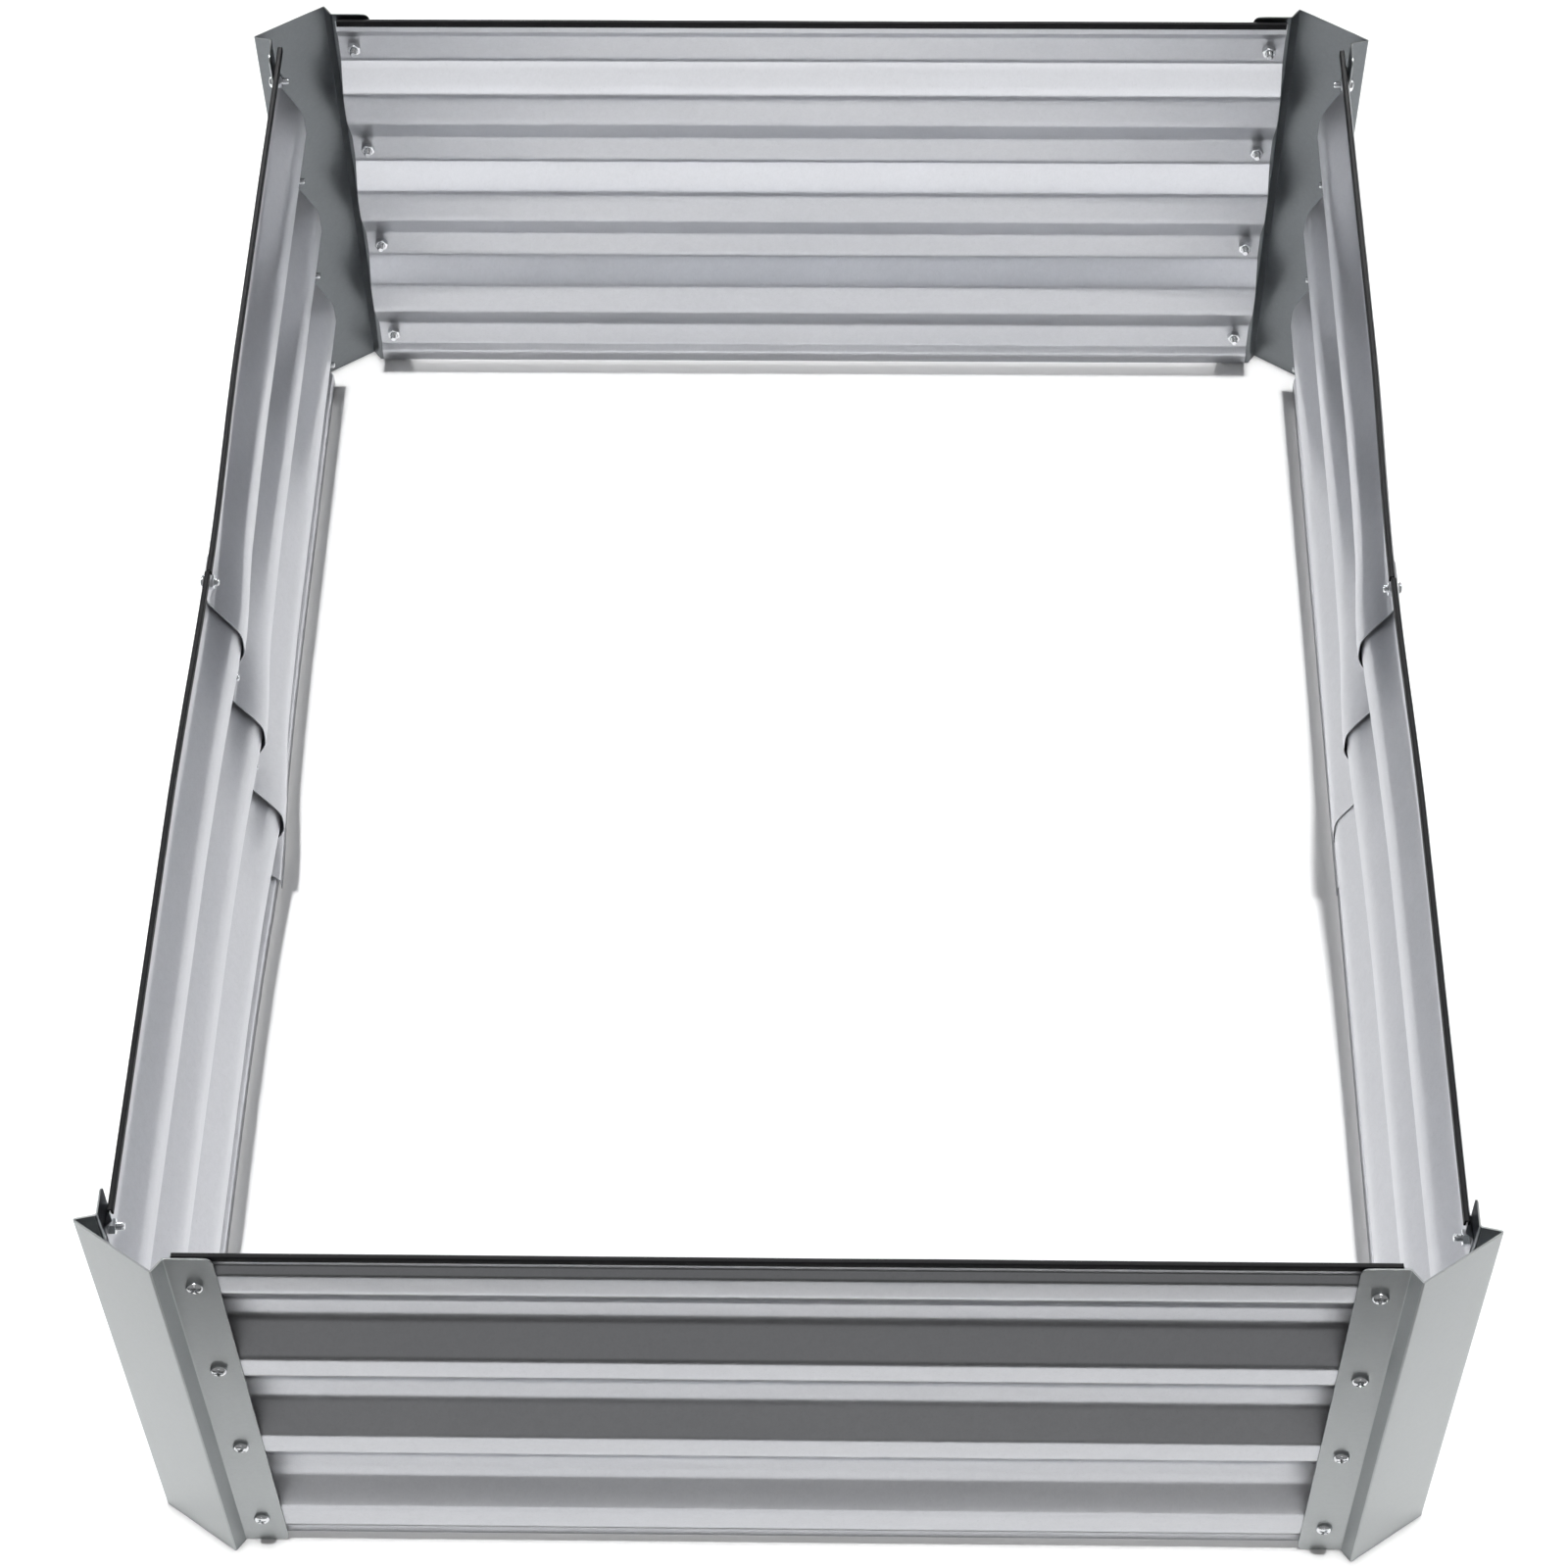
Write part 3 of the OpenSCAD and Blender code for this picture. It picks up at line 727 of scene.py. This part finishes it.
def lathe(profile, steps):
    """Closed body of revolution from (r, z) pairs that start and end on the axis."""
    bm = bmesh.new()
    rings = []
    for r, z in profile:
        if r < 1e-9:
            rings.append([bm.verts.new((0, 0, z))])
        else:
            rings.append([bm.verts.new((r * math.cos(2 * math.pi * k / steps), r * math.sin(2 * math.pi * k / steps), z)) for k in range(steps)])
    for a, b in zip(rings, rings[1:]):
        for k in range(steps):
            m = (k + 1) % steps
            if len(a) == 1:
                bm.faces.new((a[0], b[k], b[m]))
            elif len(b) == 1:
                bm.faces.new((a[k], a[m], b[0]))
            else:
                bm.faces.new((a[k], a[m], b[m], b[k]))
    bmesh.ops.recalc_face_normals(bm, faces=bm.faces)
    return bm


def boolean(a, b, how):
    """The mesh of bmesh a cut by, or kept inside, bmesh b."""
    obs = []
    for k, bm in enumerate((a, b)):
        me = bpy.data.meshes.new(f"tool{k}")
        bm.to_mesh(me)
        bm.free()
        ob = bpy.data.objects.new(f"tool{k}", me)
        scene.collection.objects.link(ob)
        obs.append(ob)
    m = obs[0].modifiers.new("cut", "BOOLEAN")
    m.operation, m.solver, m.object = how, "EXACT", obs[1]
    bpy.context.view_layer.update()
    made = bpy.data.meshes.new_from_object(obs[0].evaluated_get(bpy.context.evaluated_depsgraph_get()))
    for ob in obs:
        me = ob.data
        bpy.data.objects.remove(ob)
        bpy.data.meshes.remove(me)
    return made


def pan_head():
    """Outside of the head and the plain top of the shank, from the crown of the head to where the thread starts."""
    line = [(0, -HEAD_H)]
    for a in range(8, 91, 8):
        t = math.radians(90 - a)
        line.append((HEAD_D / 2 * math.cos(t) ** 0.66, -HEAD_H * (0.24 + 0.76 * math.sin(t) ** 0.92)))
    line += [(HEAD_D / 2, -HEAD_H * 0.22), (HEAD_D / 2 + 0.02, -0.3), (HEAD_D / 2 - 0.25, 0)]
    line += [(BOLT_D / 2, 0), (BOLT_D / 2, 3.5)]
    return line


def cross_tool():
    """A cross whose four wings narrow and slope with depth, to cut the recess with."""
    bm = bmesh.new()
    top, deep = -HEAD_H - 0.6, -HEAD_H + 2.8
    rings = []
    for z, tip, half, root in ((top, 4.35, 1.12, 1.6), (deep - 0.5, 2.3, 0.62, 1.1), (deep, 0.8, 0.36, 0.5)):
        ring = []
        for q in range(4):
            a = q * math.pi / 2
            for x, y in ((root, -half), (tip, -half * 0.92), (tip + 0.12, 0.0), (tip, half * 0.92), (root, half)):
                ring.append(bm.verts.new((x * math.cos(a) - y * math.sin(a), x * math.sin(a) + y * math.cos(a), z)))
        rings.append(ring)
    n = len(rings[0])
    for a, b in zip(rings, rings[1:]):
        for k in range(n):
            bm.faces.new((a[k], a[(k + 1) % n], b[(k + 1) % n], b[k]))
    bm.faces.new(rings[0])
    bm.faces.new(rings[-1])
    bmesh.ops.recalc_face_normals(bm, faces=bm.faces)
    return bm


def threaded_bolt(end):
    """One bolt's vertices and faces, in mm: head with its recess, shank, and a real helical thread."""
    steps = 32
    line = pan_head()
    start, pitch = 3.5, 1.0
    # the plain part, closed at the thread's start, gets the recess
    head = boolean(lathe(line + [(0, start)], steps), cross_tool(), "DIFFERENCE")
    bm = bmesh.new()
    bm.from_mesh(head)
    bpy.data.meshes.remove(head)
    # the thread: a tube whose radius follows the helix, faded in at its start and chamfered at its end
    rows = int((end - start) / (pitch / 7))
    grid = []
    for j in range(rows + 1):
        z = start + (end - start) * j / rows
        ring = []
        for k in range(steps):
            f = (z / pitch - k / steps) % 1.0
            tri = abs(f * 2 - 1)  # 0 at the crest
            cut = 0.5 * smooth(0.06, 0.9, tri) * smooth(start, start + 0.5, z)
            r = BOLT_D / 2 - cut
            r = min(r, BOLT_D / 2 - 0.9 + (end - z) * 1.0)
            a = 2 * math.pi * k / steps
            ring.append(bm.verts.new((r * math.cos(a), r * math.sin(a), z)))
        grid.append(ring)
    for a, b in zip(grid, grid[1:]):
        for k in range(steps):
            m = (k + 1) % steps
            bm.faces.new((a[k], a[m], b[m], b[k]))
    bm.faces.new(list(reversed(grid[0])))
    hub = bm.verts.new((0, 0, end + 0.0))
    inner = [bm.verts.new((v.co.x * 0.86, v.co.y * 0.86, end)) for v in grid[-1]]
    for k in range(steps):
        m = (k + 1) % steps
        bm.faces.new((grid[-1][k], grid[-1][m], inner[m], inner[k]))
        bm.faces.new((inner[k], inner[m], hub))
    return bm


def hex_nut():
    """One nut: a hexagon whose corners are turned down on both ends, with a countersunk bore."""
    six = bmesh.new()
    ends = []
    for z in (0.0, NUT_H):
        ends.append([six.verts.new((NUT_AF / math.sqrt(3) * math.cos(math.radians(60 * k)), NUT_AF / math.sqrt(3) * math.sin(math.radians(60 * k)), z)) for k in range(6)])
    for k in range(6):
        m = (k + 1) % 6
        six.faces.new((ends[0][k], ends[0][m], ends[1][m], ends[1][k]))
    six.faces.new(ends[0])
    six.faces.new(ends[1])
    bmesh.ops.recalc_face_normals(six, faces=six.faces)
    big = NUT_AF / math.sqrt(3) + 0.15
    cone = lathe([(0, 0), (NUT_AF / 2 - 0.15, 0), (big, 0.62), (big, NUT_H - 0.62), (NUT_AF / 2 - 0.15, NUT_H), (0, NUT_H)], 48)
    outer = boolean(six, cone, "INTERSECT")
    bm = bmesh.new()
    bm.from_mesh(outer)
    bpy.data.meshes.remove(outer)
    bore = BOLT_D / 2 + 0.05
    drill = lathe([(0, -1), (bore + 1.4, -1), (bore, 0.42), (bore, NUT_H - 0.42), (bore + 1.4, NUT_H + 1), (0, NUT_H + 1)], 32)
    out = boolean(bm, drill, "DIFFERENCE")
    bm = bmesh.new()
    bm.from_mesh(out)
    bpy.data.meshes.remove(out)
    return bm


ONE_BOLT, LAP_ONE, ONE_NUT = threaded_bolt(BOLT_L), threaded_bolt(BOLT_L - 2.4), hex_nut()


def column(name, side, u, depth, first, each, one, node):
    """Four fasteners, one on each row, each turned differently about its own axis."""
    place = wall(side)
    bm = bmesh.new()
    for k, z0 in enumerate(ROWS):
        a = math.radians(first + each * k)
        bow = wall_bow(side, u, z0)
        seen = {}
        for v in one.verts:
            x = v.co.x * math.cos(a) - v.co.y * math.sin(a)
            y = v.co.x * math.sin(a) + v.co.y * math.cos(a)
            seen[v] = bm.verts.new(place(u + x, depth + bow + v.co.z, z0 + y))
        for f in one.faces:
            bm.faces.new([seen[v] for v in f.verts])
    ob = build(name, bm, "fastener_zinc", [node], PLATED)
    ob.data.set_sharp_from_angle(angle=math.radians(32))
    return ob


NUT_IN = SHEET + 0.02
NUT_LAP = SHEET + math.tan(LAP_TURN) * (SIDE_END - LAP_BOLT + NUT_AF / math.sqrt(3)) + 0.01
# side, u, depth of the head's and nut's faces, first turn of the bolts and of the nuts
COLUMNS = {
    "front_left": ("front", -FRONT_BOLT, -POST, NUT_IN, 20, 10),
    "front_right": ("front", FRONT_BOLT, -POST, NUT_IN, 65, 45),
    "back_left": ("back", FRONT_BOLT, -POST, NUT_IN, 40, 25),
    "back_right": ("back", -FRONT_BOLT, -POST, NUT_IN, 5, 5),
    "right_front": ("right", -SIDE_BOLT, -POST, NUT_IN, 50, 35),
    "right_rear": ("right", SIDE_BOLT, -POST, NUT_IN, 10, 15),
    "left_front": ("left", -SIDE_BOLT, -POST, NUT_IN, 30, 50),
    "left_rear": ("left", SIDE_BOLT, -POST, NUT_IN, 75, 30),
    "right_lap": ("right", LAP_BOLT, 0.0, NUT_LAP, 15, 20),
    "left_lap": ("left", LAP_BOLT, 0.0, NUT_LAP, 55, 40),
}
for key, (side, u, head, inner, turn, nut_turn) in COLUMNS.items():
    column(f"{key}_screws", side, u, head, turn, 37, LAP_ONE if key.endswith("lap") else ONE_BOLT, f"{key}_bolts")
    column(f"{key}_hex_nuts", side, u, inner, nut_turn, 23, ONE_NUT, f"{key}_nuts")
ONE_BOLT.free()
LAP_ONE.free()
ONE_NUT.free()

# ---------------------------------------------------------------- floor, light, camera


def floor_material():
    m = Nodes("studio_floor")
    m.bsdf.inputs["Base Color"].default_value = (0.93, 0.93, 0.93, 1)
    m.bsdf.inputs["Roughness"].default_value = 0.9
    m.bsdf.inputs["Specular IOR Level"].default_value = 0.1
    return m.mat


me = bpy.data.meshes.new("studio_floor")
me.from_pydata([(-1.2, -0.81, 0), (1.2, -0.81, 0), (1.2, 1.32, 0), (-1.2, 1.32, 0)], [], [(0, 1, 2, 3)])
me.materials.append(floor_material())
floor = bpy.data.objects.new("studio_floor", me)
scene.collection.objects.link(floor)
floor.location.z = -0.0002


def area(name, at, look, size, power, spread=180.0, colour=(1, 1, 1)):
    light = bpy.data.lights.new(name, "AREA")
    light.shape = "RECTANGLE"
    light.size, light.size_y = size
    light.energy = power
    light.color = colour
    light.spread = math.radians(spread)
    ob = bpy.data.objects.new(name, light)
    scene.collection.objects.link(ob)
    ob.location = at
    ob.rotation_euler = (Vector(look) - Vector(at)).to_track_quat("-Z", "Y").to_euler()
    return ob


def reaches(ob, things, and_blocks=True):
    """Keeps a lamp to some of the objects, as flags round a studio lamp do."""
    only = bpy.data.collections.new(ob.name + "_reaches")
    for thing in things:
        only.objects.link(thing)
    ob.light_linking.receiver_collection = only
    if and_blocks:
        ob.light_linking.blocker_collection = only


area("overhead", (0.0, 0.255, 3.0), (0.0, 0.2551, 0), (2.3, 2.09), 7.2, 3)
# a second lamp straight above keeps the paper under the bed pale
area("paper_wash", (0.0, 0.225, 3.0), (0.0, 0.2251, 0), (2.6, 2.33), 8.6, 2)
area("front_box", (0.0, -3.9, 2.1), (0.0, 0.5, 0.25), (4.4, 1.2), 0.5, 22)
low = area("low_box", (0.0, -3.9, 1.05), (0.0, 0.5, 0.3), (4.4, 0.9), 1.9, 30)
reaches(low, [ob for ob in scene.collection.objects if ob.name in ("back_sheet", "back_left_hex_nuts", "back_right_hex_nuts")])
area("left_box", (-3.0, 1.6, 1.9), (0.45, 0.25, 0.25), (1.5, 1.2), 2.5, 50)
area("right_box", (3.0, 1.6, 1.9), (-0.45, 0.25, 0.25), (1.5, 1.2), 2.0, 50)
back = area("back_box", (0.0, 3.4, 1.2), (0.0, -0.3, 0.3), (3.4, 1.2), 18.0, 34)
# a low lamp behind for each long side, which lights the slopes of that side's own panels only
for side, sx in (("left", 1), ("right", -1)):
    glow = area(f"{side}_glow", (sx * 1.5, 2.3, -0.5), (-sx * 0.45, 0.2, 0.3), (1.3, 0.7), 3.0)
    reaches(glow, [ob for ob in scene.collection.objects if ob.name in (f"{side}_front_sheet", f"{side}_rear_sheet")])
reaches(back, [ob for ob in scene.collection.objects if ob.type == "MESH" and "corner" not in ob.name], False)

world = bpy.data.worlds.new("studio")
scene.world = world
world.use_nodes = True
wt = world.node_tree
bg = wt.nodes["Background"]
# a white backdrop for the camera, and a dim room for the metal to reflect
up = wt.nodes.new("ShaderNodeSeparateXYZ")
wt.links.new(wt.nodes.new("ShaderNodeTexCoord").outputs["Generated"], up.inputs[0])
room = wt.nodes.new("ShaderNodeMapRange")
for key, v in (("From Min", -0.45), ("From Max", -0.25), ("To Min", 0.08), ("To Max", 0.26)):
    room.inputs[key].default_value = v
wt.links.new(up.outputs["Z"], room.inputs["Value"])
seen = wt.nodes.new("ShaderNodeMixRGB")
wt.links.new(room.outputs["Result"], seen.inputs["Color1"])
seen.inputs["Color2"].default_value = (1, 1, 1, 1)
wt.links.new(wt.nodes.new("ShaderNodeLightPath").outputs["Is Camera Ray"], seen.inputs["Fac"])
wt.links.new(seen.outputs["Color"], bg.inputs["Color"])
bg.inputs["Strength"].default_value = 1.0

cam_data = bpy.data.cameras.new("camera")
cam = bpy.data.objects.new("camera", cam_data)
scene.collection.objects.link(cam)
cam.location = (0.044946, -1.740361, 2.411921)
cam.rotation_euler = [math.radians(a) for a in (35.8395, 0.5159, 0.8667)]
cam_data.sensor_width = 36.0
cam_data.lens = 3702.114 / 1600 * 36.0
cam_data.shift_x = -(816.62 - 800) / 1600
cam_data.shift_y = (900 - 800) / 1600
cam_data.clip_start = 0.05
scene.camera = cam

scene.view_settings.view_transform = "Standard"
scene.view_settings.look = "None"
scene.view_settings.exposure = 0.0
